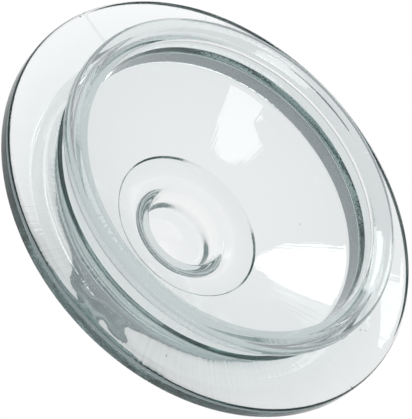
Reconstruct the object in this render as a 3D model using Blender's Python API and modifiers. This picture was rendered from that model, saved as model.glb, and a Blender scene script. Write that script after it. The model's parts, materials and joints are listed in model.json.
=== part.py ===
"""Pressed-glass jar lid: a flat flange, a beaded collar, a dished bowl and a hollow knob.

The lid is one pressing, so it is one turned solid. It stands on the knob's flat end with its
collar up. Z is the axis of revolution and the origin is at the middle of the knob's end.
Lengths are in metres.
"""

import math

import bpy

FLANGE_RADIUS = 0.0800
FLANGE_THICKNESS = 0.0051
FLANGE_FACE_HEIGHT = 0.0356
FLANGE_EDGE_ROUNDING = 0.0012
FLANGE_BACK_SLOPE = 0.272

COLLAR_HEIGHT = 0.0138
COLLAR_ROOT_RADIUS = 0.0612
COLLAR_ROOT_ROUNDING = 0.0006
COLLAR_WAIST_RADIUS = 0.0600
COLLAR_WAIST_LOW = 0.0048
COLLAR_WAIST_HIGH = 0.0085
COLLAR_WAIST_ROUNDING = 0.0025
COLLAR_BEAD_RADIUS = 0.0645
COLLAR_BEAD_LOW = 0.0095
COLLAR_BEAD_ROUNDING = 0.0005
COLLAR_SHOULDER_ROUNDING = 0.0014
COLLAR_CREST_RADIUS = 0.0600
COLLAR_CREST_ROUNDING = 0.0020
COLLAR_MOUTH_RADIUS = 0.0564
COLLAR_MOUTH_DROP = 0.0019
COLLAR_MOUTH_ROUNDING = 0.0005

BOWL_RADIUS = 0.0557
BOWL_DROP = 0.0026
BOWL_SLOPE = 0.575
BOWL_ROUNDNESS = 0.0257
BOWL_RIM_ROUNDING = 0.0015

DOME_RADIUS = 0.0604
DOME_SLOPE = 0.40
DOME_ROUNDING = 0.0600

PLINTH_RADIUS = 0.0292
PLINTH_STEP = 0.0010
PLINTH_STEP_WIDTH = 0.0004

HOLLOW_MOUTH_RADIUS = 0.0145
HOLLOW_MOUTH_ROUNDING = 0.0018
HOLLOW_MIDDLE_RADIUS = 0.0133
HOLLOW_MIDDLE_HEIGHT = 0.0080
HOLLOW_FLOOR_RADIUS = 0.0121
HOLLOW_FLOOR_ROUNDING = 0.0015
HOLLOW_FLOOR_HEIGHT = 0.0048

KNOB_RADIUS = 0.0166
KNOB_ROOT_HEIGHT = 0.0110
KNOB_ROOT_ROUNDING = 0.0062
KNOB_END_ROUNDING = 0.0021

TURN_STEPS = 64
ARC_STEPS = 3
ARC_SHARE = 0.48
BOWL_POINTS = 6

GLASS_COLOUR = (0.80, 0.92, 0.89, 1.0)
GLASS_IOR = 1.5
GLASS_ROUGHNESS = 0.02
MERGE_DISTANCE = 0.00001


def bowl_height(radius):
    """Height of the bowl's inner face: a steep cone that rounds off towards the middle."""
    fall = math.hypot(BOWL_RADIUS, BOWL_ROUNDNESS) - math.hypot(radius, BOWL_ROUNDNESS)
    return FLANGE_FACE_HEIGHT - BOWL_DROP - BOWL_SLOPE * fall


def back_height(radius):
    """Height of the flange's back, which falls away inwards from its edge."""
    edge = FLANGE_FACE_HEIGHT - FLANGE_THICKNESS
    return edge - FLANGE_BACK_SLOPE * (FLANGE_RADIUS - radius)


def dome_height(radius):
    """Height of the bowl's outer face, which carries on more steeply from the flange's back."""
    return back_height(DOME_RADIUS) - DOME_SLOPE * (DOME_RADIUS - radius)


def spread(first, last, count):
    """count radii evenly spaced from first to last."""
    return [first + (last - first) * i / (count - 1) for i in range(count)]


def hollow_corners():
    """The inside of the knob, from the middle of its floor up to its mouth."""
    return [
        (0.0, HOLLOW_FLOOR_HEIGHT, 0.0),
        (HOLLOW_FLOOR_RADIUS, HOLLOW_FLOOR_HEIGHT, HOLLOW_FLOOR_ROUNDING),
        (HOLLOW_MIDDLE_RADIUS, HOLLOW_MIDDLE_HEIGHT, 0.0),
        (HOLLOW_MOUTH_RADIUS, bowl_height(HOLLOW_MOUTH_RADIUS), HOLLOW_MOUTH_ROUNDING),
    ]


def bowl_corners():
    """The bowl's inner face, from the hollow's mouth out to the collar."""
    start = HOLLOW_MOUTH_RADIUS + 2 * HOLLOW_MOUTH_ROUNDING
    radii = spread(start, BOWL_RADIUS - 2 * BOWL_RIM_ROUNDING, BOWL_POINTS)
    face = [(radius, bowl_height(radius), 0.0) for radius in radii]
    return face + [(BOWL_RADIUS, bowl_height(BOWL_RADIUS), BOWL_RIM_ROUNDING)]


def collar_corners():
    """The collar, up its inner wall, over the rim and down past the bead and the groove."""
    face = FLANGE_FACE_HEIGHT
    top = face + COLLAR_HEIGHT
    return [
        (COLLAR_MOUTH_RADIUS, top - COLLAR_MOUTH_DROP, COLLAR_MOUTH_ROUNDING),
        (COLLAR_CREST_RADIUS, top, COLLAR_CREST_ROUNDING),
        (COLLAR_BEAD_RADIUS, top, COLLAR_SHOULDER_ROUNDING),
        (COLLAR_BEAD_RADIUS, face + COLLAR_BEAD_LOW, COLLAR_BEAD_ROUNDING),
        (COLLAR_WAIST_RADIUS, face + COLLAR_WAIST_HIGH, COLLAR_WAIST_ROUNDING),
        (COLLAR_WAIST_RADIUS, face + COLLAR_WAIST_LOW, COLLAR_WAIST_ROUNDING),
        (COLLAR_ROOT_RADIUS, face, COLLAR_ROOT_ROUNDING),
    ]


def flange_corners():
    """The flange's flat face, its rounded edge and its sloping back."""
    return [
        (FLANGE_RADIUS, FLANGE_FACE_HEIGHT, FLANGE_EDGE_ROUNDING),
        (FLANGE_RADIUS, back_height(FLANGE_RADIUS), FLANGE_EDGE_ROUNDING),
        (DOME_RADIUS, back_height(DOME_RADIUS), DOME_ROUNDING),
    ]


def dome_corners():
    """The foot of the bowl's outer face, with the low step round the plinth."""
    foot = PLINTH_RADIUS - PLINTH_STEP_WIDTH
    return [
        (PLINTH_RADIUS, dome_height(PLINTH_RADIUS), 0.0),
        (foot, dome_height(foot) - PLINTH_STEP, 0.0),
    ]


def knob_corners():
    """The knob's outer side, flaring from the plinth, and the flat end that the lid stands on."""
    return [
        (KNOB_RADIUS, KNOB_ROOT_HEIGHT, KNOB_ROOT_ROUNDING),
        (KNOB_RADIUS, 0.0, KNOB_END_ROUNDING),
        (0.0, 0.0, 0.0),
    ]


def rounded(corners):
    """Turns (radius, height, rounding) corners into points, each rounding as an arc.

    An arc takes up no more than ARC_SHARE of the straight run on either side of its corner.
    """
    points = []
    for i, (radius, height, rounding) in enumerate(corners):
        if rounding == 0.0:
            points.append((radius, height))
            continue
        before = (corners[i - 1][0] - radius, corners[i - 1][1] - height)
        after = (corners[i + 1][0] - radius, corners[i + 1][1] - height)
        length_before = math.hypot(*before)
        length_after = math.hypot(*after)
        one = (before[0] / length_before, before[1] / length_before)
        two = (after[0] / length_after, after[1] / length_after)
        half = math.acos(one[0] * two[0] + one[1] * two[1]) / 2
        reach = min(rounding / math.tan(half), ARC_SHARE * length_before, ARC_SHARE * length_after)
        arc_radius = reach * math.tan(half)
        middle = (one[0] + two[0], one[1] + two[1])
        scale = arc_radius / math.sin(half) / math.hypot(*middle)
        centre = (radius + middle[0] * scale, height + middle[1] * scale)
        start = math.atan2(height + one[1] * reach - centre[1], radius + one[0] * reach - centre[0])
        end = math.atan2(height + two[1] * reach - centre[1], radius + two[0] * reach - centre[0])
        sweep = (end - start + math.pi) % (2 * math.pi) - math.pi
        for step in range(ARC_STEPS + 1):
            angle = start + sweep * step / ARC_STEPS
            x = centre[0] + arc_radius * math.cos(angle)
            z = centre[1] + arc_radius * math.sin(angle)
            points.append((x, z))
    return points


def turned(name, points, steps, collection):
    """Revolves a profile about Z with a Screw modifier."""
    mesh = bpy.data.meshes.new(name)
    vertices = [(x, 0.0, z) for x, z in points]
    edges = [(i, i + 1) for i in range(len(points) - 1)]
    mesh.from_pydata(vertices, edges, [])
    solid = bpy.data.objects.new(name, mesh)
    collection.objects.link(solid)
    screw = solid.modifiers.new("Turn", "SCREW")
    screw.axis = "Z"
    screw.angle = 2 * math.pi
    screw.steps = steps
    screw.render_steps = steps
    screw.use_merge_vertices = True
    screw.merge_threshold = MERGE_DISTANCE
    screw.use_smooth_shade = True
    return solid


def glass_material():
    """Clear pressed glass with a faint sea-green tint."""
    material = bpy.data.materials.new("pressed_glass")
    material.use_nodes = True
    shader = material.node_tree.nodes["Principled BSDF"]
    shader.inputs["Base Color"].default_value = GLASS_COLOUR
    shader.inputs["Roughness"].default_value = GLASS_ROUGHNESS
    shader.inputs["IOR"].default_value = GLASS_IOR
    shader.inputs["Transmission Weight"].default_value = 1.0
    return material


def clear_scene():
    """Removes every object that the scene starts with."""
    for item in list(bpy.data.objects):
        bpy.data.objects.remove(item, do_unlink=True)


def build():
    """Models the lid."""
    clear_scene()
    collection = bpy.data.collections.new("glass_jar_lid")
    bpy.context.scene.collection.children.link(collection)
    corners = hollow_corners() + bowl_corners() + collar_corners()
    corners += flange_corners() + dome_corners() + knob_corners()
    lid = turned("glass_lid", rounded(corners), TURN_STEPS, collection)
    lid.data.materials.append(glass_material())


build()
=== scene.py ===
"""Fine glass for the jar lid: turned surfaces with mould seams, waviness and seeds.

The lid stands on its knob with its collar up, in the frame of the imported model. Its overall
sizes are read from that frame. Lengths are in metres and heights are above the knob's end.
"""

import json
import math

import bmesh
import bpy
from mathutils import Matrix, Vector


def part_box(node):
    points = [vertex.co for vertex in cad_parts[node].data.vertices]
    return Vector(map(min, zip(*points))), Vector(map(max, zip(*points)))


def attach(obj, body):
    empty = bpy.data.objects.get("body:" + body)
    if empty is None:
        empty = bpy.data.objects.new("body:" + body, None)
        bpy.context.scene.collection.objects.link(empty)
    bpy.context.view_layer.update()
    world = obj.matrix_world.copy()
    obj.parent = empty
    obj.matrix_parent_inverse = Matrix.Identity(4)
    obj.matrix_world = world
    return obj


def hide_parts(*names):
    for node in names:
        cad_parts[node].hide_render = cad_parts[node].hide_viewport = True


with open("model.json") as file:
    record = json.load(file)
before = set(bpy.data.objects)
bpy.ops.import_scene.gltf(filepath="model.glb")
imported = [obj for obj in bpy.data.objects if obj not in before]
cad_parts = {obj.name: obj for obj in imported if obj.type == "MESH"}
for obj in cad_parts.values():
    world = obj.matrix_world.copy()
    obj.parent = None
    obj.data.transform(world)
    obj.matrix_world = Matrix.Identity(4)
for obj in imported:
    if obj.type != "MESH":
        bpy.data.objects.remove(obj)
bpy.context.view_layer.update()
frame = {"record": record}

NODE = "glass_lid"
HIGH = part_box(NODE)[1]
FLANGE_RADIUS = HIGH[0]
FACE = frame["record"]["mounts"][0]["pos_m"][2]
COLLAR_TOP = HIGH[2]

FLANGE_THICKNESS = 0.0051
FLANGE_EDGE_ROUNDING = 0.0012
FLANGE_BACK_SLOPE = 0.272
DOME_RADIUS = 0.0604
DOME_SLOPE = 0.40
DOME_ROUNDING = 0.0600

COLLAR_ROOT_RADIUS = 0.0612
COLLAR_ROOT_ROUNDING = 0.0006
COLLAR_WAIST_RADIUS = 0.0600
COLLAR_WAIST_LOW = 0.0048
COLLAR_WAIST_HIGH = 0.0085
COLLAR_WAIST_ROUNDING = 0.0025
COLLAR_BEAD_RADIUS = 0.0645
COLLAR_BEAD_LOW = 0.0095
COLLAR_BEAD_ROUNDING = 0.0005
COLLAR_SHOULDER_ROUNDING = 0.0014
COLLAR_CREST_RADIUS = 0.0600
COLLAR_CREST_ROUNDING = 0.0020
COLLAR_MOUTH_RADIUS = 0.0564
COLLAR_MOUTH_DROP = 0.0019
COLLAR_MOUTH_ROUNDING = 0.0005

BOWL_RADIUS = 0.0557
BOWL_DROP = 0.0026
BOWL_SLOPE = 0.575
BOWL_ROUNDNESS = 0.0257
BOWL_RIM_ROUNDING = 0.0015

PLINTH_RADIUS = 0.0292
PLINTH_STEP = 0.0010
PLINTH_STEP_WIDTH = 0.0004

HOLLOW_MOUTH_RADIUS = 0.0145
HOLLOW_MOUTH_ROUNDING = 0.0018
HOLLOW_MIDDLE_RADIUS = 0.0133
HOLLOW_MIDDLE_HEIGHT = 0.0080
HOLLOW_FLOOR_RADIUS = 0.0121
HOLLOW_FLOOR_ROUNDING = 0.0015
HOLLOW_FLOOR_HEIGHT = 0.0048

KNOB_RADIUS = 0.0166
KNOB_ROOT_HEIGHT = 0.0110
KNOB_ROOT_ROUNDING = 0.0062
KNOB_END_ROUNDING = 0.0021

TURN_STEPS = 288
ARC_STEPS = 7
ARC_SHARE = 0.48
LONGEST_RUN = 0.0016
BOWL_POINTS = 24
SHARP_ANGLE = 40

CAMERA_AZIMUTH = 10.5
CAMERA_ELEVATION = 45.5
CAMERA_ROLL = 46.9
CAMERA_DISTANCE = 0.90
CAMERA_SENSOR_MM = 36
VIEW_HEIGHT = 0.1433
VIEW_SHIFT = (-0.0248, -0.0263)

FLOOR_SIZE = 6.0
FLOOR_GAP = 0.0005
FLOOR_GLOW = 1.02
FLOOR_COLOUR = (1.0, 0.985, 0.99, 1.0)
WORLD_GLOW = 0.45
WORLD_COLOUR = (0.95, 0.95, 1.0, 1.0)
PANEL_DISTANCE = 1.2
# Each panel's name, the azimuth and elevation of its two ends, its width and its brightness.
PANELS = (
    ("back_panel", (222, 34), (246, 54), 0.15, 5.0),
    ("overhead_strip", (25, 85.5), (95, 69.5), 0.08, 2.8),
    ("far_panel", (181, 46), (217, 46), 0.26, 1.7),
)
MOST_BOUNCES = 96
MOST_GLASS_BOUNCES = 64

SEAM_WIDTH = 0.0004
SEAM_REACH = 0.0016
SEAM_STEPS = 4
SEAM_DEPTH = 0.0002
SEAM_HEIGHT = 0.00008
SEED_RADIUS = 0.00022
SEED_DEPTH = 0.0015
# Each seed's azimuth in degrees from +X, its distance from the axis and its length.
SEEDS = (
    (-57.5, 0.0700, 0.0009),
    (17.5, 0.0675, 0.0007),
    (18.5, 0.0690, 0.0005),
    (60.5, 0.0420, 0.0004),
)

GLASS_COLOUR = (0.97, 0.98, 0.98, 1.0)
GLASS_IOR = 1.5
TINT_COLOUR = (0.72, 0.78, 0.775, 1.0)
TINT_DENSITY = 74
WAVE_SCALE = 34.0
WAVE_DETAIL = 2.0
WAVE_DEPTH = 0.00030
STREAK_SCALE = 40.0
STREAK_DETAIL = 1.0
STREAK_DEPTH = 0.00003


def bowl_height(radius):
    """Height of the bowl's inner face: a hyperbola, steep at the rim and level in the middle."""
    reach = math.hypot(BOWL_RADIUS, BOWL_ROUNDNESS) - math.hypot(radius, BOWL_ROUNDNESS)
    return FACE - BOWL_DROP - BOWL_SLOPE * reach


def back_height(radius):
    """Height of the flange's back, which falls away inwards from its edge."""
    return FACE - FLANGE_THICKNESS - FLANGE_BACK_SLOPE * (FLANGE_RADIUS - radius)


def dome_height(radius):
    """Height of the bowl's outer face, which carries on more steeply from the flange's back."""
    return back_height(DOME_RADIUS) - DOME_SLOPE * (DOME_RADIUS - radius)


def spread(first, last, count):
    """count values evenly spaced from first to last."""
    return [first + (last - first) * i / (count - 1) for i in range(count)]


def hollow_corners():
    """The inside of the knob, from the middle of its floor up to its mouth."""
    return [
        (0.0, HOLLOW_FLOOR_HEIGHT, 0.0),
        (HOLLOW_FLOOR_RADIUS, HOLLOW_FLOOR_HEIGHT, HOLLOW_FLOOR_ROUNDING),
        (HOLLOW_MIDDLE_RADIUS, HOLLOW_MIDDLE_HEIGHT, 0.0),
        (HOLLOW_MOUTH_RADIUS, bowl_height(HOLLOW_MOUTH_RADIUS), HOLLOW_MOUTH_ROUNDING),
    ]


def bowl_corners():
    """The bowl's inner face, from the hollow's mouth out to the collar."""
    start = HOLLOW_MOUTH_RADIUS + 2 * HOLLOW_MOUTH_ROUNDING
    radii = spread(start, BOWL_RADIUS - 2 * BOWL_RIM_ROUNDING, BOWL_POINTS)
    face = [(radius, bowl_height(radius), 0.0) for radius in radii]
    return face + [(BOWL_RADIUS, bowl_height(BOWL_RADIUS), BOWL_RIM_ROUNDING)]


def collar_corners():
    """The collar, up its inner wall, over the rim and down past the bead and the waist."""
    return [
        (COLLAR_MOUTH_RADIUS, COLLAR_TOP - COLLAR_MOUTH_DROP, COLLAR_MOUTH_ROUNDING),
        (COLLAR_CREST_RADIUS, COLLAR_TOP, COLLAR_CREST_ROUNDING),
        (COLLAR_BEAD_RADIUS, COLLAR_TOP, COLLAR_SHOULDER_ROUNDING),
        (COLLAR_BEAD_RADIUS, FACE + COLLAR_BEAD_LOW, COLLAR_BEAD_ROUNDING),
        (COLLAR_WAIST_RADIUS, FACE + COLLAR_WAIST_HIGH, COLLAR_WAIST_ROUNDING),
        (COLLAR_WAIST_RADIUS, FACE + COLLAR_WAIST_LOW, COLLAR_WAIST_ROUNDING),
        (COLLAR_ROOT_RADIUS, FACE, COLLAR_ROOT_ROUNDING),
    ]


def flange_corners():
    """The flange's flat face, its rounded edge and its sloping back."""
    return [
        (FLANGE_RADIUS, FACE, FLANGE_EDGE_ROUNDING),
        (FLANGE_RADIUS, back_height(FLANGE_RADIUS), FLANGE_EDGE_ROUNDING),
        (DOME_RADIUS, back_height(DOME_RADIUS), DOME_ROUNDING),
    ]


def dome_corners():
    """The foot of the bowl's outer face, with the low step round the plinth."""
    foot = PLINTH_RADIUS - PLINTH_STEP_WIDTH
    return [
        (PLINTH_RADIUS, dome_height(PLINTH_RADIUS), 0.0),
        (foot, dome_height(foot) - PLINTH_STEP, 0.0),
    ]


def knob_corners():
    """The knob's outer side, flaring from the plinth, and the flat end that the lid stands on."""
    return [
        (KNOB_RADIUS, KNOB_ROOT_HEIGHT, KNOB_ROOT_ROUNDING),
        (KNOB_RADIUS, 0.0, KNOB_END_ROUNDING),
        (0.0, 0.0, 0.0),
    ]


def rounded(corners):
    """Turns (radius, height, rounding) corners into points, each rounding as an arc.

    An arc takes up no more than ARC_SHARE of the straight run on either side of its corner.
    """
    points = []
    for i, (radius, height, rounding) in enumerate(corners):
        if rounding == 0.0:
            points.append((radius, height))
            continue
        before = (corners[i - 1][0] - radius, corners[i - 1][1] - height)
        after = (corners[i + 1][0] - radius, corners[i + 1][1] - height)
        length_before = math.hypot(*before)
        length_after = math.hypot(*after)
        one = (before[0] / length_before, before[1] / length_before)
        two = (after[0] / length_after, after[1] / length_after)
        half = math.acos(one[0] * two[0] + one[1] * two[1]) / 2
        reach = min(rounding / math.tan(half), ARC_SHARE * length_before, ARC_SHARE * length_after)
        arc_radius = reach * math.tan(half)
        middle = (one[0] + two[0], one[1] + two[1])
        scale = arc_radius / math.sin(half) / math.hypot(*middle)
        centre = (radius + middle[0] * scale, height + middle[1] * scale)
        start = math.atan2(height + one[1] * reach - centre[1], radius + one[0] * reach - centre[0])
        end = math.atan2(height + two[1] * reach - centre[1], radius + two[0] * reach - centre[0])
        sweep = (end - start + math.pi) % (2 * math.pi) - math.pi
        for step in range(ARC_STEPS + 1):
            angle = start + sweep * step / ARC_STEPS
            x = centre[0] + arc_radius * math.cos(angle)
            z = centre[1] + arc_radius * math.sin(angle)
            points.append((x, z))
    return points


def divided(points):
    """Adds points along straight runs, so that no run is longer than LONGEST_RUN."""
    result = [points[0]]
    for (x0, z0), (x1, z1) in zip(points, points[1:]):
        count = max(1, math.ceil(math.hypot(x1 - x0, z1 - z0) / LONGEST_RUN))
        for i in range(1, count + 1):
            result.append((x0 + (x1 - x0) * i / count, z0 + (z1 - z0) * i / count))
    return result


def turn_angles():
    """The turning steps, evenly spaced with closer ones at the two mould seams on the X axis."""
    angles = [2 * math.pi * i / TURN_STEPS for i in range(TURN_STEPS)]
    reach = SEAM_REACH / FLANGE_RADIUS
    for seam in (0.0, math.pi):
        for i in range(-SEAM_STEPS, SEAM_STEPS + 1):
            angles.append((seam + reach * i / (2 * SEAM_STEPS)) % (2 * math.pi))
    return sorted(set(round(angle, 7) for angle in angles))


def seamed(radius, height, angle):
    """A point of the profile, moved a little where a mould seam crosses the outer surfaces."""
    across = radius * math.sin(angle) / SEAM_WIDTH
    seam = math.exp(-across * across)
    on_edge = radius > FLANGE_RADIUS - FLANGE_EDGE_ROUNDING
    on_face = radius > COLLAR_BEAD_RADIUS and abs(height - FACE) < SEAM_HEIGHT
    on_bead = radius > COLLAR_BEAD_RADIUS - SEAM_DEPTH and height > FACE + COLLAR_WAIST_LOW
    if on_edge:
        return radius - SEAM_DEPTH * seam, height
    if on_face:
        return radius, height + SEAM_HEIGHT * seam
    if on_bead:
        return radius + SEAM_DEPTH * seam, height
    return radius, height


def turned(points):
    """A closed mesh turned about Z from a profile whose two ends lie on the axis."""
    mesh = bmesh.new()
    angles = turn_angles()
    rings = []
    for point in points[1:-1]:
        ring = []
        for angle in angles:
            radius, height = seamed(point[0], point[1], angle)
            ring.append(mesh.verts.new((radius * math.cos(angle), radius * math.sin(angle), height)))
        rings.append(ring)
    first = mesh.verts.new((0.0, 0.0, points[0][1]))
    last = mesh.verts.new((0.0, 0.0, points[-1][1]))
    for i in range(len(angles)):
        j = (i + 1) % len(angles)
        mesh.faces.new((first, rings[0][i], rings[0][j]))
        mesh.faces.new((last, rings[-1][j], rings[-1][i]))
        for inner, outer in zip(rings, rings[1:]):
            mesh.faces.new((inner[i], outer[i], outer[j], inner[j]))
    add_seeds(mesh)
    mesh.normal_update()
    return mesh


def add_seeds(mesh):
    """Tiny drawn-out bubbles, just under the glass, as closed hollows with their faces inwards."""
    for azimuth, radius, length in SEEDS:
        surface = FACE if radius > COLLAR_BEAD_RADIUS else bowl_height(radius)
        turn = Matrix.Rotation(math.radians(azimuth), 4, "Z")
        place = turn @ Matrix.Translation((radius, 0.0, surface - SEED_DEPTH))
        size = Matrix.Diagonal((length / 2, SEED_RADIUS, SEED_RADIUS, 1.0))
        made = bmesh.ops.create_icosphere(mesh, subdivisions=2, radius=1.0, matrix=place @ size)
        faces = set(face for vertex in made["verts"] for face in vertex.link_faces)
        bmesh.ops.reverse_faces(mesh, faces=list(faces))


def bump(tree, place, scale, detail, depth):
    """A fine unevenness of the glass, as a bump node."""
    pattern = tree.nodes.new("ShaderNodeTexNoise")
    pattern.inputs["Scale"].default_value = scale
    pattern.inputs["Detail"].default_value = detail
    tree.links.new(place, pattern.inputs["Vector"])
    relief = tree.nodes.new("ShaderNodeBump")
    relief.inputs["Distance"].default_value = depth
    tree.links.new(pattern.outputs["Fac"], relief.inputs["Height"])
    return relief


def outwards(tree, place):
    """The level direction from the axis to a point, the same all along a radius."""
    level = tree.nodes.new("ShaderNodeVectorMath")
    level.operation = "MULTIPLY"
    level.inputs[1].default_value = (1.0, 1.0, 0.0)
    tree.links.new(place, level.inputs[0])
    direction = tree.nodes.new("ShaderNodeVectorMath")
    direction.operation = "NORMALIZE"
    tree.links.new(level.outputs["Vector"], direction.inputs[0])
    return direction.outputs["Vector"]


def add_unevenness(tree, shader):
    """Soft waves all over the glass, with faint radial streaks laid over them."""
    place = tree.nodes.new("ShaderNodeTexCoord").outputs["Object"]
    waves = bump(tree, place, WAVE_SCALE, WAVE_DETAIL, WAVE_DEPTH)
    streaks = bump(tree, outwards(tree, place), STREAK_SCALE, STREAK_DETAIL, STREAK_DEPTH)
    tree.links.new(waves.outputs["Normal"], streaks.inputs["Normal"])
    tree.links.new(streaks.outputs["Normal"], shader.inputs["Normal"])


def glass_material():
    """Clear pressed glass with a faint sea-green tint that deepens with thickness."""
    material = bpy.data.materials.new("pressed_glass")
    material.use_nodes = True
    tree = material.node_tree
    shader = tree.nodes["Principled BSDF"]
    shader.inputs["Base Color"].default_value = GLASS_COLOUR
    shader.inputs["Roughness"].default_value = 0.0
    shader.inputs["IOR"].default_value = GLASS_IOR
    shader.inputs["Transmission Weight"].default_value = 1.0
    tint = tree.nodes.new("ShaderNodeVolumeAbsorption")
    tint.inputs["Color"].default_value = TINT_COLOUR
    tint.inputs["Density"].default_value = TINT_DENSITY
    tree.links.new(tint.outputs["Volume"], tree.nodes["Material Output"].inputs["Volume"])
    add_unevenness(tree, shader)
    return material


def make_lid():
    """The glass lid, in place of its plain CAD solid."""
    corners = hollow_corners() + bowl_corners() + collar_corners()
    corners += flange_corners() + dome_corners() + knob_corners()
    shape = turned(divided(rounded(corners)))
    mesh = bpy.data.meshes.new("glass_lid_fine")
    shape.to_mesh(mesh)
    shape.free()
    mesh.shade_smooth()
    mesh.set_sharp_from_angle(angle=math.radians(SHARP_ANGLE))
    mesh.materials.append(glass_material())
    lid = bpy.data.objects.new("glass_lid_fine", mesh)
    bpy.context.scene.collection.objects.link(lid)
    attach(lid, "root")
    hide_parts(NODE)


def toward(azimuth, elevation):
    """Unit vector for an azimuth, counted from the camera's side, and an elevation."""
    turn = math.radians(CAMERA_AZIMUTH + azimuth)
    rise = math.radians(elevation)
    return Vector((math.sin(turn) * math.cos(rise), -math.cos(turn) * math.cos(rise), math.sin(rise)))


def make_floor():
    """A plain, pale floor that glows evenly, like a light table."""
    mesh = bpy.data.meshes.new("floor")
    half = FLOOR_SIZE / 2
    corners = [(-half, -half, 0.0), (half, -half, 0.0), (half, half, 0.0), (-half, half, 0.0)]
    mesh.from_pydata(corners, [], [(0, 1, 2, 3)])
    floor = bpy.data.objects.new("floor", mesh)
    floor.location.z = -FLOOR_GAP
    bpy.context.scene.collection.objects.link(floor)
    material = bpy.data.materials.new("floor")
    material.use_nodes = True
    tree = material.node_tree
    glow = tree.nodes.new("ShaderNodeEmission")
    glow.inputs["Color"].default_value = FLOOR_COLOUR
    glow.inputs["Strength"].default_value = FLOOR_GLOW
    tree.links.new(glow.outputs["Emission"], tree.nodes["Material Output"].inputs["Surface"])
    mesh.materials.append(material)


def softbox(name, start, end, width, radiance):
    """A soft panel seen from the lid between two directions, with an even brightness."""
    one, two = toward(*start), toward(*end)
    centre = (one + two).normalized()
    along = (two - one).normalized()
    across = centre.cross(along).normalized()
    along = across.cross(centre)
    light = bpy.data.lights.new(name, "AREA")
    light.shape = "ELLIPSE"
    light.size = (two - one).length * PANEL_DISTANCE
    light.size_y = width * PANEL_DISTANCE
    light.energy = radiance * math.pi * light.size * light.size_y
    lamp = bpy.data.objects.new(name, light)
    turn = Matrix((along, across, centre)).transposed().to_4x4()
    lamp.matrix_world = Matrix.Translation(centre * PANEL_DISTANCE) @ turn
    bpy.context.scene.collection.objects.link(lamp)


def make_lights():
    """The three soft panels."""
    for name, start, end, width, radiance in PANELS:
        softbox(name, start, end, width, radiance)


def make_world():
    """Even, pale surroundings."""
    world = bpy.data.worlds.new("studio")
    world.use_nodes = True
    background = world.node_tree.nodes["Background"]
    background.inputs["Color"].default_value = WORLD_COLOUR
    background.inputs["Strength"].default_value = WORLD_GLOW
    bpy.context.scene.world = world


def make_camera():
    """A distant camera, above the lid and rolled, looking at the middle of the flange's face."""
    direction = toward(0, CAMERA_ELEVATION)
    data = bpy.data.cameras.new("camera")
    data.sensor_width = CAMERA_SENSOR_MM
    data.lens = data.sensor_width * CAMERA_DISTANCE / VIEW_HEIGHT
    data.shift_x, data.shift_y = VIEW_SHIFT
    camera = bpy.data.objects.new("camera", data)
    turn = (-direction).to_track_quat("-Z", "Y").to_matrix().to_4x4()
    place = Matrix.Translation(Vector((0.0, 0.0, FACE)) + direction * CAMERA_DISTANCE)
    camera.matrix_world = place @ turn @ Matrix.Rotation(math.radians(CAMERA_ROLL), 4, "Z")
    bpy.context.scene.collection.objects.link(camera)
    bpy.context.scene.camera = camera


def set_light_paths():
    """Enough bounces for light to find its way out of the thick glass, and plain colours."""
    scene = bpy.context.scene
    scene.view_settings.view_transform = "Standard"
    scene.cycles.max_bounces = MOST_BOUNCES
    scene.cycles.transmission_bounces = MOST_GLASS_BOUNCES
    scene.cycles.glossy_bounces = MOST_GLASS_BOUNCES


make_lid()
make_floor()
make_lights()
make_world()
make_camera()
set_light_paths()
